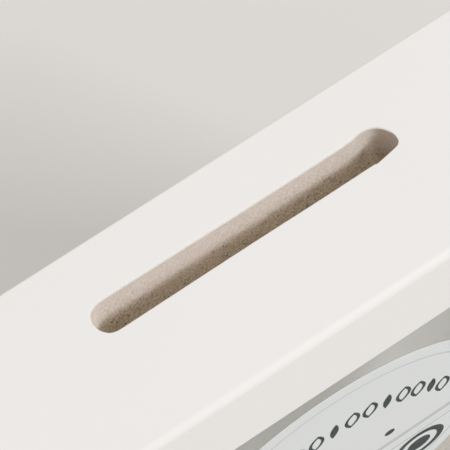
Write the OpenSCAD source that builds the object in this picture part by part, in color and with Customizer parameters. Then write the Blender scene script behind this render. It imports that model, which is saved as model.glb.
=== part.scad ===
// Square money-box frame that stands on a shelf or hangs on a wall.
// A deep mitred moulding carries the money slot in its top rail, a clear pane
// with a round badge closes its front, and a hinged door closes its back.
// Millimetres. The origin is at the middle of the base, +Z is up and the front faces -Y.

/* [Frame] */
// Outer width and height of the square frame
frame_w = 180; // [160:5:240]
// Depth of the frame from front to back
frame_d = 38; // [36:1:50]
// Width of the border that shows from the front
border_w = 22; // [21:1:28]
// Thickness of the moulding's outer wall
wall_t = 15; // [13:0.5:15]
// Thickness of the lip in front of the pane
lip_t = 8; // [5:0.5:9]
// Radius of the long outer edge at the front
edge_r = 1.5; // [1:0.5:3]

/* [Money slot] */
// Length of the slot, end to end
slot_l = 60; // [40:1:80]
// Width of the slot, which is also the cutter's diameter
slot_w = 6; // [4.5:0.5:8]
// Distance from the front face to the middle of the slot
slot_u = 24; // [20:0.5:24]

/* [Pane and badge] */
// Thickness of the clear pane
pane_t = 2; // [1.5:0.5:3]
// Radius of the round badge on the pane
badge_r = 40; // [25:1:50]

/* [Back door] */
// Thickness of the door
door_t = 4; // [3.5:0.5:5]
// Gap between the door and the frame
door_gap = 0.5; // [0.3:0.1:1]
// Radius of the finger notch in the door's free edge
notch_r = 9; // [7:0.5:12]
// Height of each hinge above or below the door's middle
hinge_offset = 38; // [25:1:38]

/* [Hangers and feet] */
// Height of the hanger rings' pivots above the frame's lower edge
hanger_z = 164; // [140:1:164]
// Height of the rubber feet
foot_h = 2; // [1:0.5:4]
// Thickness of the wall bumpers
bumper_t = 4.5; // [4.5:0.5:7]

/* [Hidden] */
$fn = 64;

// Frame coordinates: x from the middle, u back from the front face, z up from the lower edge
front_y = -(frame_d + bumper_t) / 2;
mid_z = frame_w / 2;
opening_w = frame_w - 2 * wall_t;
rear_r = 0.5;
sight_r = 0.3;
past = 1;

// Spacers, magnets and the plates that they hold
spacer_t = border_w - wall_t - 1;
pane_back = lip_t + pane_t;
door_front = frame_d - door_t;
spacer_slot_extra = 1;
magnet_r = (spacer_t - 2) / 2;
magnet_h = 3;
magnet_x = opening_w / 2 - spacer_t / 2 - 0.5;
magnet_offset = 45;
strike_t = 0.8;
pane_w = opening_w - 1;
badge_t = 0.3;

// Wedges that pull each mitre together
wedge_leg = 4;
wedge_t = 0.5;
wedge_h = 10;
wedge_insets = [5, 10];

// Butt hinges on the door's left edge
hinge_l = 25;
leaf_w = 9.5;
leaf_t = 0.8;
knuckle_r = 1.8;
knuckle_gap = 0.3;
knuckle_half = 4;
knuckle_clear = 2.3;
hinge_rise = 1.9;
hinge_x = -opening_w / 2 + door_gap / 2;
pin_r = 1;
pin_play = 0.05;
pin_head_r = 1.6;
pin_head_h = 0.6;
leaf_screw_x = 6.2;
leaf_screw_z = 7.5;
leaf_screw_r = 0.9;
leaf_screw_head_r = 1.8;
frame_screw_l = 8;
door_screw_l = 3.2;

// Hangers on the side rails
hanger_x = (frame_w - wall_t) / 2;
strap_w = 8;
strap_l = 18;
ring_wire_r = 1;
ring_half = 6;
ring_leg = 2;
ring_rise = 2.1;
ring_play = 0.06;
strap_knuckle_r = 2;
strap_screw_drop = 13;
strap_screw_r = 1.3;
strap_screw_l = 12;
strap_head_r = 2.6;
strap_head_h = 1.2;
strap_hole_play = 0.2;

// Feet and bumpers
foot_r = 5;
foot_taper = 0.6;
foot_x = frame_w / 2 - 16;
foot_us = [9, 29];
bumper_r = 5;
bumper_z = 10;

film_white = "whitesmoke";
board_brown = "peru";
steel_grey = "silver";
rubber_grey = "dimgray";

// ---- placing ----

module in_frame() {
    translate([0, front_y, foot_h]) children();
}

module on_back_face(x, z) {
    translate([x, frame_d, z]) children();
}

module each_corner() {
    for (side = [0, 1], end = [0, 1])
        translate([0, 0, mid_z])
            mirror([side, 0, 0])
                mirror([0, 0, end])
                    translate([0, 0, -mid_z])
                        children();
}

// A cylinder whose axis runs back from the front face
module along_u(r, h) {
    rotate([-90, 0, 0]) cylinder(r = r, h = h);
}

// ---- moulding ----

// What rounding removes from a corner at the origin
module edge_cut(r) {
    difference() {
        translate([-past, -past]) square(r + past);
        translate([r, r]) circle(r);
    }
}

// Section of the moulding: x runs back from the front face, y inwards from the outer face
module moulding_profile() {
    difference() {
        square([frame_d, border_w]);
        translate([lip_t, wall_t]) square([frame_d, border_w]);
        edge_cut(edge_r);
        translate([frame_d, 0]) mirror([1, 0]) edge_cut(rear_r);
        translate([0, border_w]) mirror([0, 1]) edge_cut(sight_r);
    }
}

// One mitred rail lying along the lower side of the frame
module rail_blank() {
    intersection() {
        translate([-frame_w / 2, 0, 0])
            rotate([90, 0, 90])
                linear_extrude(frame_w)
                    moulding_profile();
        translate([0, frame_d + past, 0])
            rotate([90, 0, 0])
                linear_extrude(frame_d + 2 * past)
                    polygon([[-frame_w / 2, 0], [frame_w / 2, 0], [0, frame_w / 2]]);
    }
}

// The rail turned about the frame's middle: 0 lower, 90 left, 180 top, 270 right
module rail_at(turn) {
    translate([0, 0, mid_z])
        rotate([0, turn, 0])
            translate([0, 0, -mid_z])
                rail_blank();
}

// A round-ended slot that opens upwards, cut past both faces of the top rail and spacer
module money_slot(length, width) {
    translate([0, slot_u, frame_w - border_w - past]) {
        translate([-(length - width) / 2, -width / 2, 0])
            cube([length - width, width, border_w + 2 * past]);
        for (side = [-1, 1])
            translate([side * (length - width) / 2, 0, 0])
                cylinder(d = width, h = border_w + 2 * past);
    }
}

// V-shaped nails driven into each mitre from the back
module wedge_shapes() {
    each_corner()
        for (inset = wedge_insets) {
            translate([frame_w / 2 - inset - wedge_leg, frame_d - wedge_h, frame_w - inset - wedge_t])
                cube([wedge_leg, wedge_h, wedge_t]);
            translate([frame_w / 2 - inset - wedge_t, frame_d - wedge_h, frame_w - inset - wedge_leg])
                cube([wedge_t, wedge_h, wedge_leg]);
        }
}

module mitre_wedges() {
    color(steel_grey) in_frame() wedge_shapes();
}

module top_rail() {
    color(film_white) in_frame() difference() {
        rail_at(180);
        money_slot(slot_l, slot_w);
        wedge_shapes();
    }
}

module bottom_rail() {
    color(film_white) in_frame() difference() {
        rail_at(0);
        wedge_shapes();
    }
}

module left_rail() {
    color(film_white) in_frame() difference() {
        rail_at(90);
        wedge_shapes();
        frame_screw_shapes();
        strap_screw_shape(-1);
    }
}

module right_rail() {
    color(film_white) in_frame() difference() {
        rail_at(270);
        wedge_shapes();
        strap_screw_shape(1);
    }
}

// ---- front ----

module pane() {
    color("lightcyan", 0.4) in_frame()
        translate([-pane_w / 2, lip_t, mid_z - pane_w / 2])
            cube([pane_w, pane_t, pane_w]);
}

module badge_disc() {
    color("white") in_frame()
        translate([0, lip_t - badge_t, mid_z])
            along_u(badge_r, badge_t);
}

// ---- spacers that press the pane against the lip and stop the door ----

module level_spacer(z) {
    translate([-opening_w / 2, pane_back, z])
        cube([opening_w, door_front - pane_back, spacer_t]);
}

module upright_spacer(x) {
    translate([x, pane_back, wall_t + spacer_t])
        cube([spacer_t, door_front - pane_back, opening_w - 2 * spacer_t]);
}

module top_spacer() {
    color(board_brown) in_frame() difference() {
        level_spacer(frame_w - wall_t - spacer_t);
        money_slot(slot_l + 2 * spacer_slot_extra, slot_w + 2 * spacer_slot_extra);
    }
}

module bottom_spacer() {
    color(board_brown) in_frame() level_spacer(wall_t);
}

module left_spacer() {
    color(board_brown) in_frame() upright_spacer(-opening_w / 2);
}

module right_spacer() {
    color(board_brown) in_frame() difference() {
        upright_spacer(opening_w / 2 - spacer_t);
        magnet_shapes();
    }
}

module magnet_shapes() {
    for (side = [-1, 1])
        translate([magnet_x, door_front - magnet_h, mid_z + side * magnet_offset])
            along_u(magnet_r, magnet_h);
}

module magnets() {
    color(steel_grey) in_frame() magnet_shapes();
}

// ---- back door ----

module strike_shapes() {
    for (side = [-1, 1])
        translate([magnet_x, door_front, mid_z + side * magnet_offset])
            along_u(magnet_r, strike_t);
}

module strike_discs() {
    color(steel_grey) in_frame() strike_shapes();
}

module back_door() {
    door_w = opening_w - 2 * door_gap;
    color(board_brown) in_frame() difference() {
        translate([-door_w / 2, door_front, mid_z - door_w / 2])
            cube([door_w, door_t, door_w]);
        translate([door_w / 2, door_front - past, mid_z])
            along_u(notch_r, door_t + 2 * past);
        strike_shapes();
        door_screw_shapes();
    }
}

// ---- hinges ----

module at_hinge(level) {
    on_back_face(hinge_x, mid_z + level * hinge_offset) children();
}

// One leaf on the side given by -1 or 1, with knuckles over the given spans of z
module hinge_leaf(side, spans, bore_r) {
    difference() {
        union() {
            mirror([(1 - side) / 2, 0, 0])
                translate([knuckle_clear, 0, -hinge_l / 2])
                    cube([leaf_w - knuckle_clear, leaf_t, hinge_l]);
            for (span = spans) {
                translate([0, hinge_rise, span[0]])
                    cylinder(r = knuckle_r, h = span[1] - span[0]);
                mirror([(1 - side) / 2, 0, 0])
                    translate([0, 0, span[0]])
                        cube([knuckle_clear + past, leaf_t, span[1] - span[0]]);
            }
        }
        translate([0, hinge_rise, -hinge_l]) cylinder(r = bore_r, h = 2 * hinge_l);
        leaf_screws(side, door_t);
    }
}

// Countersunk screws of one leaf: the head fills the leaf's countersink
module leaf_screws(side, length) {
    for (end = [-1, 1])
        translate([side * leaf_screw_x, leaf_t, end * leaf_screw_z])
            rotate([90, 0, 0]) {
                cylinder(h = leaf_t, r1 = leaf_screw_head_r, r2 = leaf_screw_r);
                cylinder(h = leaf_t + length, r = leaf_screw_r);
            }
}

module frame_leaf(level) {
    outer = hinge_l / 2;
    inner = knuckle_half + knuckle_gap;
    color(steel_grey) in_frame() at_hinge(level)
        hinge_leaf(-1, [[-outer, -inner], [inner, outer]], pin_r);
}

module door_leaf(level) {
    color(steel_grey) in_frame() at_hinge(level)
        hinge_leaf(1, [[-knuckle_half, knuckle_half]], pin_r + pin_play);
}

module hinge_pin(level) {
    color(steel_grey) in_frame() at_hinge(level)
        translate([0, hinge_rise, 0]) {
            translate([0, 0, -hinge_l / 2]) cylinder(r = pin_r, h = hinge_l);
            for (end = [0, 1])
                mirror([0, 0, end])
                    translate([0, 0, hinge_l / 2])
                        cylinder(r1 = pin_head_r, r2 = pin_r, h = pin_head_h);
        }
}

module frame_screw_shapes() {
    for (level = [-1, 1])
        at_hinge(level) leaf_screws(-1, frame_screw_l);
}

module door_screw_shapes() {
    for (level = [-1, 1])
        at_hinge(level) leaf_screws(1, door_screw_l);
}

// A cross recess that opens backwards, centred on a screw head's face
module cross_recess(size, depth) {
    for (turn = [0, 90])
        rotate([0, turn, 0])
            translate([-size / 2, -depth, -size / 8])
                cube([size, depth + past, size / 4]);
}

module leaf_screw_recesses(side) {
    for (level = [-1, 1])
        at_hinge(level)
            for (end = [-1, 1])
                translate([side * leaf_screw_x, leaf_t, end * leaf_screw_z])
                    cross_recess(2, 0.5);
}

module frame_leaf_screws() {
    color(steel_grey) in_frame() difference() {
        frame_screw_shapes();
        leaf_screw_recesses(-1);
    }
}

module door_leaf_screws() {
    color(steel_grey) in_frame() difference() {
        door_screw_shapes();
        leaf_screw_recesses(1);
    }
}

// ---- hangers ----

module at_hanger(side) {
    on_back_face(side * hanger_x, hanger_z) children();
}

module strap_screw_shape(side) {
    at_hanger(side)
        translate([0, leaf_t, -strap_screw_drop])
            rotate([90, 0, 0])
                cylinder(r = strap_screw_r, h = leaf_t + strap_screw_l);
}

// A strap whose top end is curled round the ring's straight side
module hanger_strap(side) {
    color(steel_grey) in_frame() at_hanger(side) difference() {
        union() {
            translate([-strap_w / 2, 0, -strap_l]) cube([strap_w, leaf_t, strap_l]);
            translate([-strap_w / 2, ring_rise, 0])
                rotate([0, 90, 0])
                    cylinder(r = strap_knuckle_r, h = strap_w);
        }
        translate([-strap_w, ring_rise, 0])
            rotate([0, 90, 0])
                cylinder(r = ring_wire_r + ring_play, h = 2 * strap_w);
        translate([0, -past, -strap_screw_drop])
            along_u(strap_screw_r + strap_hole_play, leaf_t + 2 * past);
    }
}

// A D-shaped wire ring that hangs down from its pivot
module hanger_ring(side) {
    color(steel_grey) in_frame() at_hanger(side) translate([0, ring_rise, 0]) {
        translate([-ring_half, 0, 0])
            rotate([0, 90, 0])
                cylinder(r = ring_wire_r, h = 2 * ring_half);
        for (end = [-1, 1])
            translate([end * ring_half, 0, 0]) {
                sphere(r = ring_wire_r);
                translate([0, 0, -ring_leg]) cylinder(r = ring_wire_r, h = ring_leg);
            }
        translate([0, 0, -ring_leg])
            rotate([-90, 0, 0])
                rotate_extrude(angle = 180)
                    translate([ring_half, 0])
                        circle(ring_wire_r);
    }
}

module hanger_screws() {
    color(steel_grey) in_frame() for (side = [-1, 1]) difference() {
        union() {
            strap_screw_shape(side);
            at_hanger(side)
                translate([0, leaf_t, -strap_screw_drop])
                    along_u(strap_head_r, strap_head_h);
        }
        at_hanger(side)
            translate([0, leaf_t + strap_head_h, -strap_screw_drop])
                cross_recess(2.8, 0.8);
    }
}

// ---- feet and bumpers ----

module foot(side, u) {
    color(rubber_grey) in_frame()
        translate([side * foot_x, u, -foot_h])
            cylinder(r1 = foot_r - foot_taper, r2 = foot_r, h = foot_h);
}

module wall_bumper(side) {
    color(rubber_grey) in_frame() on_back_face(side * hanger_x, bumper_z)
        rotate([-90, 0, 0])
            cylinder(r1 = bumper_r, r2 = bumper_r - foot_taper, h = bumper_t);
}

top_rail();
bottom_rail();
left_rail();
right_rail();
mitre_wedges();
pane();
badge_disc();
top_spacer();
bottom_spacer();
left_spacer();
right_spacer();
magnets();
back_door();
strike_discs();
frame_leaf(1);  // frame_leaf_upper
frame_leaf(-1);  // frame_leaf_lower
door_leaf(1);  // door_leaf_upper
door_leaf(-1);  // door_leaf_lower
hinge_pin(1);  // hinge_pin_upper
hinge_pin(-1);  // hinge_pin_lower
frame_leaf_screws();
door_leaf_screws();
hanger_strap(-1);  // hanger_strap_left
hanger_strap(1);  // hanger_strap_right
hanger_ring(-1);  // hanger_ring_left
hanger_ring(1);  // hanger_ring_right
hanger_screws();
foot(-1, foot_us[0]);  // foot_front_left
foot(1, foot_us[0]);  // foot_front_right
foot(-1, foot_us[1]);  // foot_back_left
foot(1, foot_us[1]);  // foot_back_right
wall_bumper(-1);  // wall_bumper_left
wall_bumper(1);  // wall_bumper_right
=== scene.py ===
"""Looks of the money-box frame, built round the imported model.

Lengths are in millimetres in the row frame until a mesh is made: x from the middle,
y back, z up from the surface that the frame stands on.
"""

import math

import bpy
import bmesh
from mathutils import Matrix, Vector, geometry, noise


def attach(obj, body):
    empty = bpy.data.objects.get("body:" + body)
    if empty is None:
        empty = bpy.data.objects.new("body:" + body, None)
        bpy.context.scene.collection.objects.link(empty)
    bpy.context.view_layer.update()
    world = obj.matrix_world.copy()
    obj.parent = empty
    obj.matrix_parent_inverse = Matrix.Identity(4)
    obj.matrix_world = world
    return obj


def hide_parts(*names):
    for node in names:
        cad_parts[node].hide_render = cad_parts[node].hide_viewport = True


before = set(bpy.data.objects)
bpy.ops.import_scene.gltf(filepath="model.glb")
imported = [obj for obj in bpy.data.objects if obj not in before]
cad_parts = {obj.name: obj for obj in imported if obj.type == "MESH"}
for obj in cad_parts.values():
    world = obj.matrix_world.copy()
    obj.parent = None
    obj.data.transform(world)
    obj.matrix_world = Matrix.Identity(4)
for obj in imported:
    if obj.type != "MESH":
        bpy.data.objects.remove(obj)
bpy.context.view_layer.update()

MM = 0.001

# ---- sizes that the CAD model has ----

HALF_W = 90.0
FRAME_D = 38.0
BORDER_W = 22.0
WALL_T = 15.0
LIP_T = 8.0
EDGE_R = 1.5
REAR_R = 0.5
SIGHT_R = 0.3
FRONT_Y = -21.25
REAR_Y = FRONT_Y + FRAME_D
BASE_Z = 2.0
MID_Z = BASE_Z + HALF_W
OPEN_HALF = HALF_W - WALL_T
LOW_Z, HIGH_Z = BASE_Z + WALL_T, BASE_Z + 2 * HALF_W - WALL_T
PANE_T = 2.0
PANE_Y = FRONT_Y + LIP_T
PANE_GAP = 0.5
SPACER_T = 6.0
SPACER_Y = PANE_Y + PANE_T
DOOR_T = 4.0
DOOR_GAP = 0.5
DOOR_Y = REAR_Y - DOOR_T
# Pieces that touch are kept this far apart where the two surfaces would otherwise be one
HAIR = 0.01


# ---- outlines, as counterclockwise lists of (a, b) ----

def circle(ca, cb, r, n=48):
    steps = [2 * math.pi * k / n for k in range(n)]
    return [(ca + r * math.cos(t), cb + r * math.sin(t)) for t in steps]


def arc(ca, cb, r, start, end, n):
    steps = [math.radians(start + (end - start) * k / n) for k in range(n + 1)]
    return [(ca + r * math.cos(t), cb + r * math.sin(t)) for t in steps]


def rounded(a0, b0, a1, b1, r, n=5):
    return (
        arc(a1 - r, b0 + r, r, -90, 0, n)
        + arc(a1 - r, b1 - r, r, 0, 90, n)
        + arc(a0 + r, b1 - r, r, 90, 180, n)
        + arc(a0 + r, b0 + r, r, 180, 270, n)
    )


def offset(loop, d):
    """The loop with every point moved outwards by d."""
    n, out = len(loop), []
    for k in range(n):
        p, q, r = loop[k - 1], loop[k], loop[(k + 1) % n]
        e1 = Vector((q[0] - p[0], q[1] - p[1])).normalized()
        e2 = Vector((r[0] - q[0], r[1] - q[1])).normalized()
        n1, n2 = Vector((e1.y, -e1.x)), Vector((e2.y, -e2.x))
        m = (n1 + n2) / max(0.35, 1 + n1.dot(n2))
        out.append((q[0] + d * m.x, q[1] + d * m.y))
    return out


def smooth_loop(points, step):
    """A closed smooth curve through the points, with a point about every step."""
    n, fine = len(points), []
    for k in range(n):
        p = [Vector(points[(k + j) % n]) for j in (-1, 0, 1, 2)]
        for i in range(16):
            t = i / 16
            fine.append(
                0.5 * (2 * p[1] + (p[2] - p[0]) * t
                       + (2 * p[0] - 5 * p[1] + 4 * p[2] - p[3]) * t * t
                       + (3 * p[1] - p[0] - 3 * p[2] + p[3]) * t ** 3)
            )
    fine.append(fine[0])
    out, left = [], 0.0
    for a, b in zip(fine, fine[1:]):
        length = (b - a).length
        while left < length:
            q = a.lerp(b, left / length)
            out.append((q.x, q.y))
            left += step
        left -= length
    return out[:-1]


# ---- meshes ----

class Shape:
    """Points, faces and material numbers of one piece. place turns local points into the row frame."""

    def __init__(self, place=lambda a, b, c: (a, b, c)):
        self.points, self.faces, self.numbers, self.place = [], [], [], place

    def ring(self, loop, c):
        """Adds the loop's points at height c and returns their indices."""
        start = len(self.points)
        self.points += [self.place(a, b, c) for a, b in loop]
        return list(range(start, start + len(loop)))

    def ring3(self, points):
        """Adds local 3-D points and returns their indices."""
        start = len(self.points)
        self.points += [self.place(*p) for p in points]
        return list(range(start, start + len(points)))

    def face(self, indices, number=0):
        self.faces.append(tuple(indices))
        self.numbers.append(number)

    def skin(self, low, high, number=0):
        """Joins two rings of as many points with a closed band of faces."""
        for k in range(len(low)):
            j = (k + 1) % len(low)
            self.face((low[k], low[j], high[j], high[k]), number)

    def fan(self, ring, tip):
        """Closes a ring with triangles to one point."""
        for k in range(len(ring)):
            self.face((ring[k], ring[(k + 1) % len(ring)], tip))

    def fill(self, rings, number=0):
        """Fills the first ring, leaving the other rings as holes."""
        names = [i for ring in rings for i in ring]
        for tri in geometry.tessellate_polygon([[Vector(self.points[i]) for i in ring] for ring in rings]):
            self.face([names[t] for t in tri], number)

    def plate(self, outer, t, bevel, holes=(), numbers=(0, 0, 0), low=0.0, n=3):
        """A flat piece of thickness t with rounded edges.

        A hole is a pair of outlines, for the low half and the high half of the thickness. The
        material numbers are for the low face, the sides and the high face.
        """
        stages = [math.radians(90 * k / n) for k in range(n + 1)]
        levels = [(bevel * (1 - math.sin(s)), low + bevel * (1 - math.cos(s))) for s in stages]
        levels += [(inset, 2 * low + t - c) for inset, c in reversed(levels)]
        rings = [[self.ring(offset(outer, -inset), c) for inset, c in levels]]
        half = len(levels) // 2
        for bottom, top in holes:
            mouths = [bottom] * half + [top] * half
            rings.append([self.ring(offset(mouth, inset), c) for mouth, (inset, c) in zip(mouths, levels)])
        for stack in rings:
            for a, b in zip(stack, stack[1:]):
                self.skin(a, b, numbers[1])
        self.fill([stack[0] for stack in rings], numbers[0])
        self.fill([stack[-1] for stack in rings], numbers[2])

    def lathe(self, profile, n):
        """Turns (radius, height) points about the c axis."""
        last = None
        for r, c in profile:
            ring = self.ring([(0, 0)], c) if r < 1e-6 else self.ring(circle(0, 0, r, n), c)
            if last is not None:
                if len(last) == 1:
                    self.fan(ring, last[0])
                elif len(ring) == 1:
                    self.fan(last, ring[0])
                else:
                    self.skin(last, ring)
            last = ring

    def tube(self, path, side, r, n=20):
        """Sweeps a circle along a closed flat path of 3-D points; side is the path plane's normal."""
        side, rings, count = Vector(side), [], len(path)
        for k in range(count):
            ahead = (Vector(path[(k + 1) % count]) - Vector(path[k - 1])).normalized()
            out = ahead.cross(side)
            rings.append(self.ring3([
                tuple(Vector(path[k]) + out * (r * math.cos(t)) + side * (r * math.sin(t)))
                for t in (2 * math.pi * i / n for i in range(n))
            ]))
        for a, b in zip(rings, rings[1:] + rings[:1]):
            self.skin(a, b)


def made(name, shapes, body, materials, stands_for=(), angle=32.0):
    """Makes one piece from one or more shapes, ties it to its body and hides the CAD nodes that it stands
    for.
    """
    points, faces, numbers = [], [], []
    for shape in shapes if isinstance(shapes, (list, tuple)) else [shapes]:
        start = len(points)
        points += [tuple(MM * w for w in p) for p in shape.points]
        faces += [tuple(i + start for i in f) for f in shape.faces]
        numbers += shape.numbers
    mesh = bpy.data.meshes.new(name)
    mesh.from_pydata(points, [], faces)
    mesh.polygons.foreach_set("material_index", numbers)
    for m in materials:
        mesh.materials.append(m)
    bm = bmesh.new()
    bm.from_mesh(mesh)
    bmesh.ops.remove_doubles(bm, verts=bm.verts, dist=1e-7)
    bmesh.ops.dissolve_degenerate(bm, edges=bm.edges, dist=1e-7)
    bmesh.ops.recalc_face_normals(bm, faces=bm.faces)
    bm.to_mesh(mesh)
    bm.free()
    mesh.polygons.foreach_set("use_smooth", [True] * len(mesh.polygons))
    mesh.set_sharp_from_angle(angle=math.radians(angle))
    obj = bpy.data.objects.new(name, mesh)
    bpy.context.scene.collection.objects.link(obj)
    normals = obj.modifiers.new("normals", "WEIGHTED_NORMAL")
    normals.keep_sharp = True
    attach(obj, body)
    if stands_for:
        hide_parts(*stands_for)
    return obj


# ---- materials ----

class Paint:
    """A node material with short calls for the textures that this object needs."""

    def __init__(self, name):
        self.material = bpy.data.materials.new(name)
        self.material.use_nodes = True
        self.nodes, self.links = self.material.node_tree.nodes, self.material.node_tree.links
        self.nodes.clear()
        self.out = self.nodes.new("ShaderNodeOutputMaterial")
        self.where = self.nodes.new("ShaderNodeTexCoord").outputs["Object"]

    def node(self, kind, settings=None, **inputs):
        n = self.nodes.new(kind)
        for key, value in (settings or {}).items():
            setattr(n, key, value)
        for key, value in inputs.items():
            socket = n.inputs[int(key[1:])] if key[1:].isdigit() else n.inputs[key.replace("_", " ")]
            if isinstance(value, bpy.types.NodeSocket):
                self.links.new(value, socket)
            else:
                socket.default_value = value
        return n

    def stretched(self, sx, sy, sz):
        return self.node("ShaderNodeMapping", Vector=self.where, Scale=(sx, sy, sz)).outputs[0]

    def noise(self, scale, detail=3.0, rough=0.5, at=None, distort=0.0):
        n = self.node("ShaderNodeTexNoise", Vector=at or self.where, Scale=scale, Detail=detail,
                      Roughness=rough, Distortion=distort)
        return n.outputs[0]

    def cells(self, scale, at=None):
        return self.node("ShaderNodeTexVoronoi", Vector=at or self.where, Scale=scale).outputs["Distance"]

    def range(self, value, lo, hi, to_lo=0.0, to_hi=1.0):
        n = self.node("ShaderNodeMapRange", {"interpolation_type": "SMOOTHSTEP"})
        self.links.new(value, n.inputs[0])
        for k, v in enumerate((lo, hi, to_lo, to_hi), 1):
            n.inputs[k].default_value = v
        return n.outputs[0]

    def math(self, operation, a, b):
        return self.node("ShaderNodeMath", {"operation": operation}, _0=a, _1=b).outputs[0]

    def mix(self, share, low, high):
        n = self.node("ShaderNodeMix", {"data_type": "RGBA"})
        for k, v in ((0, share), (6, low), (7, high)):
            if isinstance(v, bpy.types.NodeSocket):
                self.links.new(v, n.inputs[k])
            else:
                n.inputs[k].default_value = (*v, 1.0) if k else v
        return n.outputs[2]

    def bump(self, height, distance, strength=1.0, under=None):
        n = self.node("ShaderNodeBump", Height=height, Distance=distance, Strength=strength)
        if under is not None:
            self.links.new(under, n.inputs["Normal"])
        return n.outputs[0]

    def surface(self, **inputs):
        n = self.node("ShaderNodeBsdfPrincipled")
        for key, value in inputs.items():
            socket = n.inputs[key.replace("_", " ")]
            if isinstance(value, bpy.types.NodeSocket):
                self.links.new(value, socket)
            else:
                socket.default_value = (*value, 1.0) if isinstance(value, tuple) else value
        self.links.new(n.outputs[0], self.out.inputs[0])
        return self.material


def film_white():
    p = Paint("film_white")
    cloud = p.noise(22, 2)
    grain = p.noise(520, 4, 0.6)
    colour = p.mix(p.range(cloud, 0.35, 0.65), (0.855, 0.838, 0.827), (0.863, 0.846, 0.835))
    dust = p.math("MULTIPLY", p.range(p.cells(900), 0.0, 0.06, 1.0, 0.0), 0.06)
    colour = p.mix(dust, colour, (0.70, 0.67, 0.63))
    peel = p.bump(p.noise(1300, 2, 0.4), 0.00003, 0.35)
    board = p.bump(p.noise(170, 3, 0.5), 0.00012, 0.12, peel)
    return p.surface(Base_Color=colour, Roughness=p.range(grain, 0.3, 0.7, 0.40, 0.50), Normal=board,
                     IOR=1.46)


def film_edge():
    """The cut edge of the film, where the board shows through a little."""
    p = Paint("film_edge")
    grain = p.noise(2600, 3, 0.6)
    colour = p.mix(p.range(grain, 0.35, 0.65), (0.800, 0.735, 0.665), (0.870, 0.822, 0.765))
    return p.surface(Base_Color=colour, Roughness=p.range(grain, 0.3, 0.7, 0.6, 0.75),
                     Normal=p.bump(grain, 0.00004, 0.5))


def raw_board(name, light, dark, speck):
    """Fibreboard: fine fibres in darker and paler patches, with pale shreds and dark specks."""
    p = Paint(name)
    fibres = p.noise(900, 6, 0.72, p.stretched(0.35, 1.0, 1.3), 0.6)
    patches = p.noise(210, 4, 0.6)
    colour = p.mix(p.range(fibres, 0.32, 0.70), dark, light)
    colour = p.mix(p.range(patches, 0.30, 0.72, 0.0, 0.38), colour, dark)
    pits = p.range(p.noise(760, 3, 0.55, p.stretched(0.8, 1.0, 1.0)), 0.315, 0.40, 1.0, 0.0)
    shreds = p.range(p.noise(1500, 2, 0.5, p.stretched(0.22, 1.0, 1.6)), 0.68, 0.76)
    colour = p.mix(p.math("MULTIPLY", shreds, 0.55), colour, (0.80, 0.74, 0.66))
    colour = p.mix(p.math("MULTIPLY", pits, 0.85), colour, speck)
    rough_skin = p.bump(fibres, 0.00012, 0.7)
    pitted = p.bump(p.math("SUBTRACT", 1.0, pits), 0.00018, 0.7, rough_skin)
    return p.surface(Base_Color=colour, Roughness=p.range(patches, 0.3, 0.7, 0.80, 0.95), Normal=pitted,
                     IOR=1.3)


def slot_board():
    """The slot's milled wall: a dense outer layer, a browner and pitted core that is also painted darker and
    more saturated further down as shade in the slot, and painted shade on the right end's wall.
    """
    p = Paint("slot_board")
    place = p.node("ShaderNodeSeparateXYZ", Vector=p.where)
    wander = p.math("MULTIPLY", p.math("SUBTRACT", p.noise(160, 3), 0.5), 0.003)
    level = p.math("ADD", place.outputs[2], wander)
    top_z = MM * (BASE_Z + 2 * HALF_W)
    # Partly real and partly painted shade: the wall turns from the pale skin to the browner core further
    # down, and the core's colour is also darkened there as shade deep in the slot
    core_and_painted_shade = p.range(level, top_z - 0.0095, top_z - 0.0048, 1.0, 0.0)
    top = p.range(level, top_z - 0.0035, top_z - 0.0002, 0.0, 0.55)
    grain = p.noise(3400, 3, 0.62, p.stretched(1.0, 1.0, 0.45))
    fibres = p.noise(1300, 5, 0.72, p.stretched(0.8, 1.0, 0.6), 0.5)
    patches = p.noise(420, 4, 0.6, p.stretched(0.7, 1.0, 1.0))
    skin = p.mix(p.range(grain, 0.36, 0.64), (0.800, 0.690, 0.612), (0.965, 0.880, 0.810))
    # The core's colour, darker and more saturated than the board alone: real browner fibres plus painted
    # shade
    heart_and_shade = p.mix(p.range(grain, 0.36, 0.64), (0.535, 0.418, 0.290), (0.885, 0.768, 0.600))
    colour = p.mix(core_and_painted_shade, skin, heart_and_shade)
    colour = p.mix(top, colour, (0.74, 0.640, 0.560))
    colour = p.mix(p.range(fibres, 0.42, 0.66, 0.0, 0.25), colour, (0.58, 0.48, 0.38))
    # Painted shade: the right end's wall is darkened towards dark brown, as the shade where it faces away
    # from the key light
    painted_end_shade = p.range(p.math("ADD", place.outputs[0], wander), 0.0262, 0.0286, 0.0, 0.72)
    colour = p.mix(painted_end_shade, colour, (0.37, 0.285, 0.21))
    deep = p.range(core_and_painted_shade, 0.0, 1.0, 0.10, 1.0)
    pits = p.range(p.noise(1900, 3, 0.55, p.stretched(1.0, 1.0, 0.6)), 0.330, 0.390, 1.0, 0.0)
    shreds = p.range(p.noise(2600, 2, 0.5, p.stretched(0.7, 1.0, 0.5)), 0.62, 0.72)
    colour = p.mix(p.math("MULTIPLY", shreds, 0.4), colour, (0.97, 0.91, 0.82))
    in_pits = p.math("MULTIPLY", pits, p.math("MULTIPLY", deep, 0.85))
    colour = p.mix(in_pits, colour, (0.20, 0.150, 0.105))
    rough_skin = p.bump(p.math("ADD", fibres, p.math("MULTIPLY", grain, 0.8)), 0.00012, 0.8)
    pitted = p.bump(p.math("SUBTRACT", 1.0, p.math("MULTIPLY", pits, deep)), 0.00020, 0.9, rough_skin)
    return p.surface(Base_Color=colour, Roughness=p.range(patches, 0.3, 0.7, 0.82, 0.95), Normal=pitted,
                     IOR=1.3)


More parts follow.
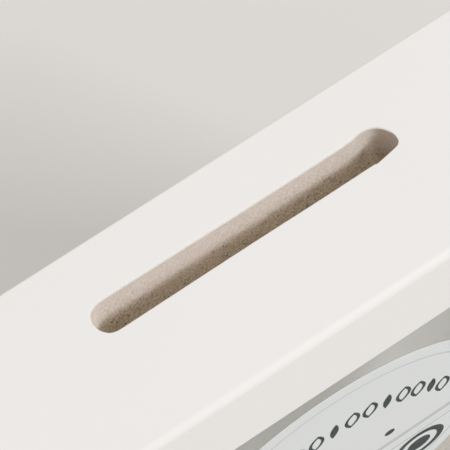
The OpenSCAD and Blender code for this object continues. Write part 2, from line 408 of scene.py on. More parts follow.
def pale_door():
    p = Paint("pale_door")
    cloud = p.noise(35, 3)
    colour = p.mix(p.range(cloud, 0.3, 0.7), (0.595, 0.598, 0.568), (0.635, 0.637, 0.605))
    colour = p.mix(p.range(p.noise(420, 4, 0.65), 0.50, 0.78, 0.0, 0.2), colour, (0.57, 0.56, 0.52))
    weave = p.bump(p.noise(900, 4, 0.6), 0.00005, 0.5)
    return p.surface(Base_Color=colour, Roughness=p.range(cloud, 0.3, 0.7, 0.55, 0.68), Normal=weave)


def clear_pane():
    """Glass that mirrors at its outer faces only, so that light goes on through it at any angle."""
    p = Paint("clear_pane")
    smear = p.noise(28, 4, 0.6, None, 1.5)
    tint = p.mix(p.range(smear, 0.3, 0.7), (0.970, 0.982, 0.976), (0.980, 0.990, 0.985))
    through = p.node("ShaderNodeBsdfTransparent", Color=tint).outputs[0]
    polish = p.range(smear, 0.3, 0.7, 0.015, 0.05)
    shine = p.node("ShaderNodeBsdfGlossy", Color=(1, 1, 1, 1), Roughness=polish).outputs[0]
    inside = p.node("ShaderNodeNewGeometry").outputs["Backfacing"]
    edge = p.node("ShaderNodeFresnel", IOR=1.5).outputs[0]
    outer_face = p.math("SUBTRACT", 1.0, inside)
    mixed = p.node("ShaderNodeMixShader", _0=p.math("MULTIPLY", edge, outer_face), _1=through, _2=shine)
    p.links.new(mixed.outputs[0], p.out.inputs[0])
    return p.material


def badge_white():
    """White film that lets a little light through to the box behind it."""
    p = Paint("badge_white")
    cloud = p.noise(60, 3)
    colour = p.mix(p.range(cloud, 0.3, 0.7), (0.828, 0.864, 0.876), (0.842, 0.877, 0.888))
    peel = p.bump(p.noise(1500, 2, 0.5), 0.00001, 0.25)
    satin = p.range(p.noise(300, 3), 0.3, 0.7, 0.34, 0.42)
    p.surface(Base_Color=colour, Roughness=satin, Normal=peel, IOR=1.36)
    front = p.out.inputs[0].links[0].from_socket
    through = p.node("ShaderNodeBsdfTranslucent", Color=colour).outputs[0]
    mixed = p.node("ShaderNodeMixShader", _0=0.18, _1=front, _2=through)
    p.links.new(mixed.outputs[0], p.out.inputs[0])
    return p.material


def ink(name, low, high):
    """Screen-printed ink: slightly uneven cover."""
    p = Paint(name)
    colour = p.mix(p.range(p.noise(1500, 4, 0.6), 0.3, 0.7), low, high)
    return p.surface(Base_Color=colour, Roughness=p.range(p.noise(500, 2), 0.3, 0.7, 0.55, 0.65),
                     Normal=p.bump(p.noise(1800, 3), 0.00001, 0.3), IOR=1.12)


def plated(name, low, high, rough_lo, rough_hi, grain):
    p = Paint(name)
    cloud = p.noise(140, 4, 0.6)
    brushed = p.noise(2400, 3, 0.6, p.stretched(1.0, 1.0, grain))
    colour = p.mix(p.range(cloud, 0.3, 0.7), low, high)
    scuffs = p.range(brushed, 0.4, 0.8, 0.0, 0.10)
    scuffed = p.math("ADD", p.range(cloud, 0.3, 0.7, rough_lo, rough_hi), scuffs)
    return p.surface(Base_Color=colour, Metallic=1.0, Roughness=scuffed,
                     Normal=p.bump(brushed, 0.00002, 0.35))


def grey_rubber():
    p = Paint("grey_rubber")
    cloud = p.noise(260, 4, 0.6)
    dust = p.range(p.noise(1300, 3, 0.6), 0.58, 0.75, 0.0, 0.5)
    colour = p.mix(dust, (0.060, 0.060, 0.063), (0.13, 0.13, 0.128))
    return p.surface(Base_Color=colour, Roughness=p.range(cloud, 0.3, 0.7, 0.60, 0.78),
                     Normal=p.bump(p.noise(2200, 3), 0.00004, 0.5))


FILM = film_white()
FILM_EDGE = film_edge()
SLOT_BOARD = slot_board()
RAW = raw_board("raw_board", (0.68, 0.59, 0.495), (0.54, 0.45, 0.36), (0.22, 0.17, 0.12))
DOOR_BROWN = raw_board("door_brown", (0.44, 0.335, 0.23), (0.33, 0.240, 0.155), (0.20, 0.145, 0.09))
DOOR_PALE = pale_door()
GLASS = clear_pane()
VINYL = badge_white()
INK_DARK = ink("ink_dark", (0.022, 0.030, 0.031), (0.038, 0.048, 0.048))
INK_GREY = ink("ink_grey", (0.47, 0.485, 0.485), (0.53, 0.545, 0.545))
INK_LIGHT = ink("ink_light", (0.52, 0.55, 0.545), (0.56, 0.59, 0.585))
ZINC = plated("zinc", (0.40, 0.405, 0.42), (0.53, 0.53, 0.54), 0.28, 0.40, 0.12)
NICKEL = plated("nickel", (0.44, 0.425, 0.395), (0.56, 0.545, 0.51), 0.18, 0.28, 0.12)
MAGNET = plated("magnet_nickel", (0.66, 0.66, 0.66), (0.76, 0.755, 0.75), 0.12, 0.22, 1.0)
RUBBER = grey_rubber()


# ---- moulding ----

# The mitred ends are bevelled this far, so that a fine line of raw board shows between two rails
MITRE_GROOVE = 0.11
# The film is wrapped round the back this far and is this thick
FILM_RETURN = 9.0
FILM_T = 0.12
LIP_EDGE = 0.35
RAIL_PAINTS = [FILM, RAW, SLOT_BOARD, FILM_EDGE]
FILM_NO, RAW_NO, SLOT_NO, LIP_NO = range(4)


def moulding_profile():
    """(u, v) points and the material number of the side that starts at each; u runs back, v inwards."""
    sides = []

    def run(points, number):
        sides.extend((p, number) for p in points)

    run(arc(EDGE_R, EDGE_R, EDGE_R, 180, 270, 14), FILM_NO)
    run(arc(FRAME_D - REAR_R, REAR_R, REAR_R, 270, 360, 6), FILM_NO)
    run([(FRAME_D, FILM_RETURN)], FILM_NO)
    run([(FRAME_D - FILM_T, FILM_RETURN + 0.05)], RAW_NO)
    run(arc(FRAME_D - FILM_T - LIP_EDGE, WALL_T - LIP_EDGE, LIP_EDGE, 0, 90, 3), RAW_NO)
    run([(LIP_T, WALL_T)], FILM_NO)
    run(arc(LIP_T - LIP_EDGE, BORDER_W - LIP_EDGE, LIP_EDGE, 0, 90, 3), FILM_NO)
    run(arc(SIGHT_R, BORDER_W - SIGHT_R, SIGHT_R, 90, 180, 6), FILM_NO)
    return sides


def turned(turn):
    """Places (u, v, x) of the lower rail after turning the rail about the frame's middle."""
    t = math.radians(turn)
    c, s = math.cos(t), math.sin(t)

    def place(u, v, x):
        z = v - HALF_W
        return x * c + z * s, FRONT_Y + u, MID_Z - x * s + z * c

    return place


# The rim of the slot as it was milled, as (x, distance behind the front face): the cutter
# came out a little early at the right end, so that end is skewed and its rim is chipped
SLOT_RIM = [
    (-27.4, 20.80), (-25.5, 20.72), (-13.0, 20.80), (0.0, 20.85), (13.0, 20.80), (23.2, 20.85), (24.0, 20.7),
    (25.5, 20.9), (28.5, 21.45), (29.2, 21.8), (29.6, 22.5), (29.5, 24.0), (28.4, 25.9), (27.0, 26.9),
    (25.1, 27.25), (23.3, 26.95), (21.5, 26.8), (12.0, 26.75), (0.0, 26.75), (-12.0, 26.85), (-25.0, 26.95),
    (-28.2, 26.75), (-29.6, 25.8), (-30.1, 24.1), (-29.7, 22.5), (-28.6, 21.2),
]
RIM_STEP = 0.42
# The rim's lip as (share of its depth, share of its width), wider at the slot's back than at its front
RIM_LIP = [(0.0, 1.0), (0.06, 0.62), (0.25, 0.30), (0.55, 0.08), (1.0, 0.0)]
LIP_FRONT, LIP_BACK = 0.10, 0.46
# Depths of the slot's wall below the lip: the first, the step, and how many
WALL_TOP, WALL_STEP, WALL_LEVELS = 0.5, 0.58, 25


def slot_rings(shape):
    """The slot's rings from the top face down to the rebate."""
    rim = smooth_loop([(-x, u) for x, u in reversed(SLOT_RIM)], RIM_STEP)
    rim = [(u, x) for x, u in rim]
    rim.reverse()
    outwards = [(fu - u, fx - x) for (u, x), (fu, fx) in zip(rim, offset(rim, 1.0))]
    rings = []
    for down, out in RIM_LIP:
        loop = []
        for (u, x), (nu, nx) in zip(rim, outwards):
            lip = LIP_FRONT + (LIP_BACK - LIP_FRONT) * max(0.0, nu)
            lip += 0.04 * noise.noise(Vector((x * 0.8, u, 3.0)))
            loop.append((u + nu * lip * out, lip * down, x + nx * lip * out))
        rings.append(shape.ring3(loop))
    levels = [WALL_TOP + k * WALL_STEP for k in range(WALL_LEVELS)] + [WALL_T - 0.15, WALL_T]
    for depth in levels:
        loop = []
        for (u, x), (nu, nx) in zip(rim, outwards):
            rough = 0.05 * noise.noise(Vector((x * 1.1, u * 1.1, depth * 1.6)))
            rough += 0.035 * noise.noise(Vector((x * 3.1, u * 3.1, depth * 3.6)))
            rough *= min(1.0, max(0.0, depth - 0.3))
            if depth >= WALL_T:
                rough += 0.15
            loop.append((u + nu * rough, depth, x + nx * rough))
        rings.append(shape.ring3(loop))
    return rings


def rail(name, turn, with_slot=False):
    shape = Shape(turned(turn))
    sides = moulding_profile()
    loop = [p for p, _ in sides]
    numbers = [n for _, n in sides]
    inner = offset(loop, -MITRE_GROOVE)
    stacks = []
    for end in (-1, 1):
        cap = shape.ring3([(u, v, end * (HALF_W - v)) for u, v in inner])
        rim = shape.ring3([(u, v, end * (HALF_W - v - MITRE_GROOVE)) for u, v in loop])
        shape.fill([cap], RAW_NO)
        for k in range(len(loop)):
            j = (k + 1) % len(loop)
            shape.face((cap[k], cap[j], rim[j], rim[k]), RAW_NO)
        stacks.append(rim)
    left, right = stacks
    # The two flat sides that the slot goes through are kept back, to be filled round its rings
    flats = {}
    for k in range(len(loop)):
        j = (k + 1) % len(loop)
        (u0, v0), (u1, v1) = loop[k], loop[j]
        if with_slot and abs(u1 - u0) > 20 and abs(v1 - v0) < 1e-6:
            flats["outer" if v0 < 1 else "rebate"] = [left[k], left[j], right[j], right[k]]
        else:
            shape.face((left[k], left[j], right[j], right[k]), numbers[k])
    if with_slot:
        rings = slot_rings(shape)
        lip_bands = [FILM_NO] + [LIP_NO] * (len(RIM_LIP) - 2)
        bands = lip_bands + [SLOT_NO] * (len(rings) - 1 - len(lip_bands))
        for low, high, number in zip(rings, rings[1:], bands):
            shape.skin(low, high, number)
        shape.fill([flats["outer"], rings[0]], FILM_NO)
        shape.fill([flats["rebate"], rings[-1]], RAW_NO)
    return made(name + "_moulding", shape, "frame", RAIL_PAINTS, [name])


rail("top_rail", 180, True)
rail("bottom_rail", 0)
rail("left_rail", 90)
rail("right_rail", 270)


# ---- mitre nails ----

NAIL_INSETS = (5.0, 10.0)
NAIL_T, NAIL_L, NAIL_PROUD = 0.4, 9.96, 0.06
# A V-nail's bent strip seen from the back, from one hooked end round the bend to the other
NAIL_PATH = [(4.0, 0.35), (3.0, -0.05), (2.0, 0.0), (0.9, 0.02), (0.28, 0.28), (0.02, 0.9), (0.0, 2.0),
             (-0.05, 3.0), (0.35, 4.0)]


def nail_outline():
    left, right = [], []
    for k, (a, b) in enumerate(NAIL_PATH):
        p, q = NAIL_PATH[max(0, k - 1)], NAIL_PATH[min(len(NAIL_PATH) - 1, k + 1)]
        d = NAIL_T / 2 * Vector((q[0] - p[0], q[1] - p[1])).normalized()
        left.append((a - d.y, b + d.x))
        right.append((a + d.y, b - d.x))
    return right + left[::-1]


def mitre_nails():
    """Bent V-nails driven into the back of each corner, their edges a hair proud of the board."""
    nails = []
    for sx in (-1, 1):
        for sz in (-1, 1):
            for inset in NAIL_INSETS:
                cx, cz = sx * (HALF_W - inset), MID_Z + sz * (HALF_W - inset)
                y = REAR_Y + NAIL_PROUD - NAIL_L
                nail = Shape(lambda a, b, c, cx=cx, cz=cz, sx=sx, sz=sz: (cx - sx * a, y + c, cz - sz * b))
                nail.plate(nail_outline(), NAIL_L, 0.06, n=2)
                nails.append(nail)
    return made("corner_v_nails", nails, "frame", [ZINC], ["mitre_wedges"])


mitre_nails()


# ---- pane and badge ----

def facing_front(y):
    """Local (a, b, c) with a to the right, b up from the frame's middle and c back from the plane at y."""
    return lambda a, b, c: (a, y + c, MID_Z + b)


PANE_HALF = OPEN_HALF - PANE_GAP
pane = Shape(facing_front(PANE_Y))
pane.plate(rounded(-PANE_HALF, -PANE_HALF, PANE_HALF, PANE_HALF, 0.8), PANE_T, 0.22)
made("glass_pane", pane, "frame", [GLASS], ["pane"])

BADGE_R = 40.0
BADGE_T = 0.3
badge = Shape(facing_front(PANE_Y - BADGE_T))
badge.plate(circle(0, 0, BADGE_R, 180), BADGE_T - HAIR, 0.10)
made("badge_vinyl_disc", badge, "frame", [VINYL], ["badge_disc"])

# The printed marks stand this far out of the badge and reach this far into it
INK_T = 0.03
INK_SUNK = 0.004
INK_Y = PANE_Y - BADGE_T - INK_T


def printed(name, outlines, paint):
    """Flat printed marks on the badge, each a list of its outline and any hole."""
    shape = Shape(facing_front(INK_Y))
    for outer, *holes in outlines:
        shape.plate(outer, INK_T + INK_SUNK, 0.008, [(hole, hole) for hole in holes], n=1)
    return made(name, shape, "frame", [paint])


def leaf(ca, cb, length, width, lean, n=8):
    """A pointed leaf about (ca, cb), leaning to the right by that many degrees."""
    side = [(width / 2 * math.sin(math.pi * k / n) ** 0.8, length * (k / n - 0.5)) for k in range(n + 1)]
    outline = side + [(-a, b) for a, b in side[-2:0:-1]]
    c, s = math.cos(math.radians(lean)), math.sin(math.radians(lean))
    return [(ca + a * c + b * s, cb - a * s + b * c) for a, b in outline]


def bar(a0, b0, a1, b1):
    return rounded(a0, b0, a1, b1, min(abs(a1 - a0), abs(b1 - b0)) * 0.3, 3)


ARCH_R, ARCH_B = 31.4, -10.9
LEAF_STEP, LEAF_LEAN, LEAVES_EACH_SIDE = 7.9, 12.0, 7


def garland():
    """Line-drawn and solid leaves side by side on a flat arch, all leaning the same way."""
    marks = []
    for k in range(-LEAVES_EACH_SIDE, LEAVES_EACH_SIDE + 1):
        turn = math.radians(LEAF_STEP * k)
        ca, cb = ARCH_R * math.sin(turn), ARCH_R * math.cos(turn) + ARCH_B
        if k % 3:
            marks.append([leaf(ca, cb, 7.2, 3.8, LEAF_LEAN), leaf(ca, cb, 5.1, 2.1, LEAF_LEAN)])
        else:
            marks.append([leaf(ca, cb, 6.6, 2.1, LEAF_LEAN)])
    return marks


def coins():
    """Three plain coins side by side under the lines: a thick rim round a solid middle."""
    marks = []
    for ca, cb, r in ((-18.6, -21.2, 6.8), (0.0, -23.6, 8.6), (18.6, -21.2, 6.8)):
        marks.append([circle(ca, cb, r, 64), circle(ca, cb, r * 0.72, 64)])
        marks.append([circle(ca, cb, r * 0.46, 48)])
    return marks


RIM_LINE_R, RIM_LINE_W = 35.9, 0.5
rim_line = [circle(0, 0, RIM_LINE_R + side * RIM_LINE_W / 2, 180) for side in (1, -1)]
dots = [[circle(ca, cb, r, 32)] for ca, cb, r in ((-12.0, -1.4, 1.3), (0.0, 3.0, 2.2), (12.0, -1.4, 1.3))]
printed("badge_ring_line", [rim_line], INK_LIGHT)
printed("badge_lines", [[bar(-33, -9.0, 33, -7.2)], [bar(-31, -13.6, 31, -13.0)]], INK_GREY)
printed("badge_garland", garland(), INK_DARK)
printed("badge_dots", dots, INK_DARK)
printed("badge_coins", coins(), INK_DARK)


# ---- spacers and door ----

SPACER_L = DOOR_Y - SPACER_Y
SPACER_EDGE = 0.25
MAGNET_X, MAGNET_OFFSET, MAGNET_R, MAGNET_H = 71.5, 45.0, 2.0, 3.0
# The holes for the magnets and strike plates are this much larger than them
FIT = 0.03
STRIKE_T = 0.8


def spacer_outline(x0, z0, x1, z1):
    return rounded(x0, z0, x1, z1, SPACER_EDGE, 3)


def board(name, x0, z0, x1, z1):
    """A raw spacer board between the pane and the door, seen from the front as a rectangle."""
    shape = Shape(lambda a, b, c: (a, SPACER_Y + c, b))
    shape.plate(spacer_outline(x0, z0, x1, z1), SPACER_L, SPACER_EDGE)
    return made(name + "_board", shape, "frame", [RAW], [name])


board("bottom_spacer", -OPEN_HALF, LOW_Z, OPEN_HALF, LOW_Z + SPACER_T)
board("left_spacer", -OPEN_HALF, LOW_Z + SPACER_T, -OPEN_HALF + SPACER_T, HIGH_Z - SPACER_T)


def top_spacer():
    """Lies flat under the top rail with the slot's lower half through it."""
    slot_end, slot_y, slot_r = 26.5, 2.75, 4.0
    shape = Shape(lambda a, b, c: (a, b, HIGH_Z - SPACER_T + c))
    hole = arc(slot_end, slot_y, slot_r, -90, 90, 16) + arc(-slot_end, slot_y, slot_r, 90, 270, 16)
    outer = spacer_outline(-OPEN_HALF, SPACER_Y, OPEN_HALF, DOOR_Y)
    shape.plate(outer, SPACER_T, SPACER_EDGE, [(hole, hole)])
    return made("top_spacer_board", shape, "frame", [RAW], ["top_spacer"])


top_spacer()


def edged_rings(shape, outline, t, edge, cut):
    """Rings up the side of a piece t thick, with its edges cut back in two steps."""
    levels = [(edge, 0.0), (cut, cut), (0.0, edge), (0.0, t - edge), (cut, t - cut), (edge, t)]
    return [shape.ring(offset(outline, -inset), c) for inset, c in levels]


def right_spacer():
    """Drilled from the back for the two magnets."""
    outer = spacer_outline(OPEN_HALF - SPACER_T, LOW_Z + SPACER_T, OPEN_HALF, HIGH_Z - SPACER_T)
    shape = Shape(lambda a, b, c: (a, SPACER_Y + c, b))
    rings = edged_rings(shape, outer, SPACER_L, SPACER_EDGE, 0.07)
    for a, b in zip(rings, rings[1:]):
        shape.skin(a, b)
    mouths = []
    for sz in (-1, 1):
        hole = circle(MAGNET_X, MID_Z + sz * MAGNET_OFFSET, MAGNET_R + FIT, 48)
        mouth, wall = shape.ring(offset(hole, 0.12), SPACER_L), shape.ring(hole, SPACER_L - 0.12)
        floor = shape.ring(hole, SPACER_L - MAGNET_H)
        shape.skin(mouth, wall)
        shape.skin(wall, floor)
        shape.fill([floor])
        mouths.append(mouth)
    shape.fill([rings[0]])
    shape.fill([rings[-1]] + mouths)
    return made("right_spacer_board", shape, "frame", [RAW], ["right_spacer"])


right_spacer()

magnet_set, strike_set = [], []
for sz in (-1, 1):
    z = MID_Z + sz * MAGNET_OFFSET
    disc = Shape(lambda a, b, c, z=z: (MAGNET_X + a, DOOR_Y - MAGNET_H + c, z + b))
    disc.plate(circle(0, 0, MAGNET_R, 48), MAGNET_H - FIT, 0.18)
    magnet_set.append(disc)
    strike = Shape(lambda a, b, c, z=z: (MAGNET_X + a, DOOR_Y + 2 * HAIR + c, z + b))
    strike.plate(circle(0, 0, MAGNET_R - 2 * HAIR, 48), STRIKE_T - 4 * HAIR, 0.12)
    strike_set.append(strike)
made("magnet_discs", magnet_set, "frame", [MAGNET], ["magnets"])
made("strike_plates", strike_set, "back_door", [ZINC], ["strike_discs"])


def door():
    """Thin board, pale inside and brown outside, with a finger notch and pockets for the strike plates."""
    half, corner, edge = OPEN_HALF - DOOR_GAP, 0.5, 0.3
    notch_r, notch_out = 9.0, 0.6
    outline = (
        arc(half - corner, -half + corner, corner, -90, 0, 3)
        + arc(half + notch_out, 0, notch_r, 266, 94, 40)
        + arc(half - corner, half - corner, corner, 0, 90, 3)
        + arc(-half + corner, half - corner, corner, 90, 180, 3)
        + arc(-half + corner, -half + corner, corner, 180, 270, 3)
    )
    shape = Shape(facing_front(DOOR_Y))
    rings = edged_rings(shape, outline, DOOR_T, edge, edge * 0.3)
    for a, b in zip(rings, rings[1:]):
        shape.skin(a, b, 1)
    mouths = []
    for sz in (-1, 1):
        hole = circle(MAGNET_X, sz * MAGNET_OFFSET, MAGNET_R + FIT, 48)
        mouth, floor = shape.ring(hole, 0.0), shape.ring(hole, STRIKE_T)
        shape.skin(mouth, floor, 1)
        shape.fill([floor], 1)
        mouths.append(mouth)
    shape.fill([rings[0]] + mouths, 0)
    shape.fill([rings[-1]], 1)
    return made("door_board", shape, "back_door", [DOOR_PALE, DOOR_BROWN], ["back_door"])


door()


# ---- screws ----

THREAD_PITCH = 0.55
THREAD_ROOT = 0.82


def cross(length, width, turn):
    """The outline of a cross recess, turned by that many degrees."""
    a, w = length / 2, width / 2
    points = []
    for k in range(4):
        t = math.radians(turn + 90 * k)
        c, s = math.cos(t), math.sin(t)
        points += [(p * c - q * s, p * s + q * c) for p, q in ((a, -w), (a, w), (w, w))]
    return points


def screw(place, head, shank_r, length, recess, turn):
    """A screw along -c; head lists (radius, height above the seat) from its top edge to the shank."""
    shape = Shape(place)
    top = head[0][1]
    mouth = shape.ring(cross(recess, recess * 0.26, turn), top)
    lip = shape.ring(cross(recess * 0.93, recess * 0.22, turn), top - 0.06)
    floor = shape.ring(cross(recess * 0.5, recess * 0.16, turn), top - recess * 0.27)
    shape.skin(mouth, lip)
    shape.skin(lip, floor)
    shape.fill([floor])
    rings = [shape.ring(circle(0, 0, r, 48), c) for r, c in head]
    shape.fill([rings[0], mouth])
    low = head[-1][1]
    for k in range(int((length + low) / THREAD_PITCH)):
        c = low - 0.2 - k * THREAD_PITCH
        rings.append(shape.ring(circle(0, 0, shank_r, 48), c))
        rings.append(shape.ring(circle(0, 0, shank_r * THREAD_ROOT, 48), c - 0.27))
    for a, b in zip(rings, rings[1:]):
        shape.skin(a, b)
    shape.fan(rings[-1], shape.ring([(0, 0)], -length)[0])
    return shape


# ---- hinges ----

HINGE_X = -OPEN_HALF + DOOR_GAP / 2
HINGE_OFFSET = 38.0
PIN_Y = REAR_Y + 1.9
HINGE_HALF = 12.5
KNUCKLE_R, PIN_R, LEAF_T, LEAF_W = 1.8, 1.0, 0.8, 9.5
KNUCKLE_HALF, KNUCKLE_GAP = 4.0, 0.3
SCREW_X, SCREW_Z = 6.2, 7.5
# Stamped sheet metal: its thickness once a hair is taken off, and the radius of its edges
SHEET_T, SHEET_EDGE = LEAF_T - HAIR, 0.09
HINGE_SCREW_HEAD = [(1.62, LEAF_T - 0.02), (1.74, LEAF_T - 0.05), (1.78, LEAF_T - 0.10), (0.92, 0.02),
                    (0.90, -0.05)]
HINGE_SHANK_R, HINGE_RECESS = 0.84, 2.0
# Radii of the leaf's screw holes next to the board and in the countersink
HINGE_HOLE_R = (0.98, 1.86)
DOOR_SCREW_L, FRAME_SCREW_L = 3.15, 7.9


def knuckle(side, z, low, high, bore):
    """The leaf's sheet rolled round the pin, with the seam where the roll meets the leaf again."""
    start, end = -88, -394
    outline = arc(0, 0, bore, start, end, 36) + arc(0, 0, KNUCKLE_R, end, start, 44)
    shape = Shape(lambda a, b, c: (HINGE_X + side * a, PIN_Y + b, z + c))
    shape.plate(outline, high - low, SHEET_EDGE, low=low, n=2)
    return shape


def leaf_outline(spans):
    """The leaf seen from the back, cut clear of the pin except along its own knuckles' spans."""
    reach, clear, corner = 0.15, 2.35, 1.2
    outline = arc(LEAF_W - corner, -HINGE_HALF + corner, corner, -90, 0, 6)
    outline += arc(LEAF_W - corner, HINGE_HALF - corner, corner, 0, 90, 6)
    if spans[-1][1] < HINGE_HALF:
        outline += [(clear, HINGE_HALF)]
    for low, high in reversed(spans):
        if high < HINGE_HALF:
            outline += [(clear, high)]
        outline += [(reach, high), (reach, low)]
        if low > -HINGE_HALF:
            outline += [(clear, low)]
    if spans[0][0] > -HINGE_HALF:
        outline += [(clear, -HINGE_HALF)]
    return outline


def hinge_leaf(name, side, level, spans, bore, body, turn):
    """Makes one leaf with its rolled knuckles and returns its two screws."""
    z = MID_Z + level * HINGE_OFFSET
    holes = [[circle(SCREW_X, end * SCREW_Z, r, 40) for r in HINGE_HOLE_R] for end in (-1, 1)]
    plate = Shape(lambda a, b, c: (HINGE_X + side * a, REAR_Y + HAIR + c, z + b))
    plate.plate(leaf_outline(spans), SHEET_T, SHEET_EDGE, holes, n=2)
    rolls = [knuckle(side, z, low, high, bore) for low, high in spans]
    made(name + "_plate", [plate] + rolls, body, [NICKEL], [name], 40)
    length = DOOR_SCREW_L if side > 0 else FRAME_SCREW_L
    return [
        screw(lambda a, b, c, end=end: (HINGE_X + side * SCREW_X + a, REAR_Y + c, z + end * SCREW_Z + b),
              HINGE_SCREW_HEAD, HINGE_SHANK_R, length, HINGE_RECESS, turn + 37 * end)
        for end in (-1, 1)
    ]


def hinge_pin(name, level):
    """A rod with a low domed head at each end."""
    dome = [(1.0, 0.0), (1.50, 0.02), (1.58, 0.12), (1.46, 0.34), (1.05, 0.52), (0.0, 0.58)]
    crown = [(r, HINGE_HALF + c) for r, c in dome]
    shape = Shape(lambda a, b, c: (HINGE_X + a, PIN_Y + b, MID_Z + level * HINGE_OFFSET + c))
    shape.lathe([(r, -c) for r, c in reversed(crown)] + crown, 40)
    return made(name + "_rod", shape, "frame", [NICKEL], [name])


frame_screws, door_screws = [], []
outer_spans = [(-HINGE_HALF, -KNUCKLE_HALF - KNUCKLE_GAP), (KNUCKLE_HALF + KNUCKLE_GAP, HINGE_HALF)]
middle_span = [(-KNUCKLE_HALF, KNUCKLE_HALF)]
tight_bore, free_bore = PIN_R + HAIR, PIN_R + 0.05
for level, word, turn in ((1, "upper", 12), (-1, "lower", 61)):
    frame_leaf, door_leaf = "frame_leaf_" + word, "door_leaf_" + word
    frame_screws += hinge_leaf(frame_leaf, -1, level, outer_spans, tight_bore, "frame", turn)
    door_screws += hinge_leaf(door_leaf, 1, level, middle_span, free_bore, "back_door", turn + 20)
    hinge_pin("hinge_pin_" + word, level)
made("frame_leaf_screw_set", frame_screws, "frame", [NICKEL], ["frame_leaf_screws"])
made("door_leaf_screw_set", door_screws, "back_door", [NICKEL], ["door_leaf_screws"])


# ---- hangers ----

HANGER_X, HANGER_Z = 82.5, BASE_Z + 164.0
EYE_Y = REAR_Y + 2.1
STRAP_L, STRAP_W, STRAP_DROP, STRAP_END_R = 18.0, 8.0, 13.0, 3.2
WIRE_R, EYE_R, RING_PLAY = 1.0, 2.0, 0.06
RING_HALF, RING_LEG, RING_BEND = 6.0, 2.0, 1.3
HANGER_SCREW_HEAD = [(1.75, 1.16), (2.05, 1.10), (2.32, 0.96), (2.50, 0.74), (2.58, 0.45), (2.6, 0.10),
                     (2.52, 0.02), (1.3, 0.0), (1.25, -0.1)]
HANGER_SHANK_R, HANGER_SCREW_L, HANGER_RECESS = 1.22, 12.5, 2.8


def hanger_strap(x, word):
    """A strap with a round lower end, its upper end curled round the ring's straight side."""
    strap = Shape(lambda a, b, c: (x + a, REAR_Y + HAIR + c, HANGER_Z + b))
    side, low = STRAP_W / 2 - STRAP_END_R, -STRAP_L + STRAP_END_R
    outline = (
        [(STRAP_W / 2, -0.2), (-STRAP_W / 2, -0.2)]
        + arc(-side, low, STRAP_END_R, 180, 270, 10)
        + arc(side, low, STRAP_END_R, 270, 360, 10)
    )
    hole = circle(0, -STRAP_DROP, 1.5, 40)
    strap.plate(outline, SHEET_T, SHEET_EDGE, [(hole, hole)], n=2)
    start, end = -88, 210
    curl = arc(0, 0, EYE_R, start, end, 48) + arc(0, 0, WIRE_R + RING_PLAY, end, start, 36)
    eye = Shape(lambda a, b, c: (x + c, EYE_Y + b, HANGER_Z + a))
    eye.plate(curl, STRAP_W, SHEET_EDGE, low=-STRAP_W / 2, n=2)
    name = "hanger_strap_" + word
    made(name + "_plate", [strap, eye], "frame", [ZINC], [name], 40)


def hanger_ring(x, word):
    """A D-shaped ring of wire, its straight side in the strap's curl, as it hangs."""
    corner = RING_HALF - RING_BEND
    path = arc(corner, -RING_BEND, RING_BEND, 0, 90, 6)
    path += [(corner - corner * k / 5, 0.0) for k in range(1, 10)]
    path += arc(-corner, -RING_BEND, RING_BEND, 90, 180, 6)
    path += [(-RING_HALF, -RING_LEG + 0.2)]
    path += arc(0, -RING_LEG, RING_HALF, 180, 360, 40)
    path += [(RING_HALF, -RING_LEG + 0.2)]
    ring = Shape()
    ring.tube([(x + a, EYE_Y, HANGER_Z + b) for a, b in path], (0, 1, 0), WIRE_R - HAIR)
    name = "hanger_ring_" + word
    made(name + "_wire", ring, name, [ZINC], [name])


strap_screws = []
for side, word in ((-1, "left"), (1, "right")):
    x = side * HANGER_X
    hanger_strap(x, word)
    hanger_ring(x, word)
    strap_screws.append(
        screw(lambda a, b, c, x=x: (x + a, REAR_Y + LEAF_T + c, HANGER_Z - STRAP_DROP + b),
              HANGER_SCREW_HEAD, HANGER_SHANK_R, HANGER_SCREW_L, HANGER_RECESS, 25 + 40 * side)
    )
made("hanger_screw_set", strap_screws, "frame", [ZINC], ["hanger_screws"])


# ---- feet and bumpers ----

FOOT_X, FOOT_FRONT_Y, FOOT_BACK_Y = 74.0, -12.25, 7.75
BUMPER_Z = BASE_Z + 10.0
# (radius, height) from the middle of the dished lower face round to the glued face
FOOT_PROFILE = [(0, 0.16), (1.6, 0.16), (1.8, 0.0), (4.1, 0.0), (4.35, 0.07), (4.5, 0.25), (4.93, 1.8),
                (4.98, 1.95), (4.9, 1.99), (0, 1.99)]
# (radius, height) from the middle of the glued face round to the dished outer face
BUMPER_PROFILE = [(0, 0.01), (4.9, 0.01), (4.98, 0.08), (5.0, 0.3), (4.5, 3.9), (4.36, 4.25), (4.1, 4.43),
                  (3.6, 4.5), (1.8, 4.5), (1.6, 4.3), (0, 4.3)]

for row, y in (("front", FOOT_FRONT_Y), ("back", FOOT_BACK_Y)):
    for word, side in (("left", -1), ("right", 1)):
        foot = Shape(lambda a, b, c, side=side, y=y: (side * FOOT_X + a, y + b, c))
        foot.lathe(FOOT_PROFILE, 64)
        name = f"foot_{row}_{word}"
        made("rubber_" + name, foot, "frame", [RUBBER], [name])
for word, side in (("left", -1), ("right", 1)):
    bumper = Shape(lambda a, b, c, side=side: (side * HANGER_X + a, REAR_Y + c, BUMPER_Z + b))
    bumper.lathe(BUMPER_PROFILE, 64)
    made("rubber_bumper_" + word, bumper, "frame", [RUBBER], ["wall_bumper_" + word])


# ---- stage, light and camera ----

FLOOR_R, COVE_R = 2600.0, 700.0
WARM_WHITE = (1.0, 0.985, 0.965)


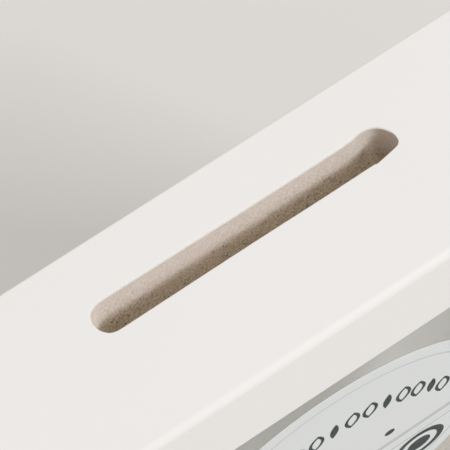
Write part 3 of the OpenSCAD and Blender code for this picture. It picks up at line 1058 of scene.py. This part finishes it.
def stage_floor():
    """A floor that curves up into a wall all round."""
    p = Paint("stage_paper")
    colour = p.mix(p.range(p.noise(3, 2), 0.3, 0.7), (0.735, 0.719, 0.697), (0.745, 0.729, 0.707))
    paper = p.surface(Base_Color=colour, Roughness=0.9, Normal=p.bump(p.noise(900, 2), 0.00005, 0.2))
    shape = Shape()
    shape.lathe([(0.0, 0.0), (400.0, 0.0)] + arc(FLOOR_R, COVE_R, COVE_R, -90, 0, 15), 96)
    mesh = bpy.data.meshes.new("stage_floor")
    mesh.from_pydata([tuple(MM * w for w in q) for q in shape.points], [], shape.faces)
    mesh.materials.append(paper)
    bm = bmesh.new()
    bm.from_mesh(mesh)
    bmesh.ops.remove_doubles(bm, verts=bm.verts, dist=1e-7)
    bmesh.ops.recalc_face_normals(bm, faces=bm.faces)
    middle = min(bm.faces, key=lambda f: abs(f.calc_center_median().x))
    if middle.normal.z < 0:
        bmesh.ops.reverse_faces(bm, faces=bm.faces)
    bm.to_mesh(mesh)
    bm.free()
    mesh.polygons.foreach_set("use_smooth", [True] * len(mesh.polygons))
    obj = bpy.data.objects.new("stage_floor", mesh)
    bpy.context.scene.collection.objects.link(obj)


def soft_light(name, direction, distance, width, height, power, colour):
    """A rectangular lamp that faces the middle of the frame from that direction."""
    data = bpy.data.lights.new(name, "AREA")
    data.shape, data.size, data.size_y = "RECTANGLE", width, height
    data.energy, data.color = power, colour
    obj = bpy.data.objects.new(name, data)
    toward = Vector(direction).normalized()
    obj.location = Vector((0, 0, MID_Z * MM)) + toward * distance
    obj.rotation_mode = "QUATERNION"
    obj.rotation_quaternion = toward.to_track_quat("Z", "Y")
    obj.visible_camera = False
    bpy.context.scene.collection.objects.link(obj)


def studio_world():
    world = bpy.data.worlds.new("studio")
    world.use_nodes = True
    background = world.node_tree.nodes["Background"]
    background.inputs["Color"].default_value = (*WARM_WHITE, 1.0)
    background.inputs["Strength"].default_value = 0.56
    bpy.context.scene.world = world


stage_floor()
studio_world()
soft_light("key", (0.45, -0.57, 0.68), 3.2, 0.90, 0.45, 40.0, (1.0, 0.99, 0.975))
soft_light("overhead", (0.0, 0.10, 1.0), 2.6, 2.20, 2.20, 8.0, WARM_WHITE)

# The camera looks down at a point on the top face from the front, turned to the right and rolled
AIM = Vector((-0.00272, 0.00510, 0.18200))
AIM_DISTANCE = 0.28349
ELEVATION, YAW, ROLL = math.radians(64.0), math.radians(15.87), math.radians(-18.35)
LENS = 136.0


def photo_camera():
    level = Vector((math.sin(YAW), math.cos(YAW), 0.0))
    ahead = math.cos(ELEVATION) * level - math.sin(ELEVATION) * Vector((0.0, 0.0, 1.0))
    right = ahead.cross(Vector((0.0, 0.0, 1.0))).normalized()
    up = right.cross(ahead)
    across = math.cos(ROLL) * right + math.sin(ROLL) * up
    upward = math.cos(ROLL) * up - math.sin(ROLL) * right
    data = bpy.data.cameras.new("camera")
    data.lens, data.sensor_width = LENS, 36.0
    data.clip_start, data.clip_end = 0.01, 20.0
    obj = bpy.data.objects.new("camera", data)
    obj.rotation_mode = "QUATERNION"
    obj.rotation_quaternion = Matrix((across, upward, -ahead)).transposed().to_quaternion()
    obj.location = AIM - AIM_DISTANCE * ahead
    bpy.context.scene.collection.objects.link(obj)
    bpy.context.scene.camera = obj


photo_camera()
bpy.context.scene.view_settings.view_transform = "Standard"
bpy.context.scene.view_settings.gamma = 1.3
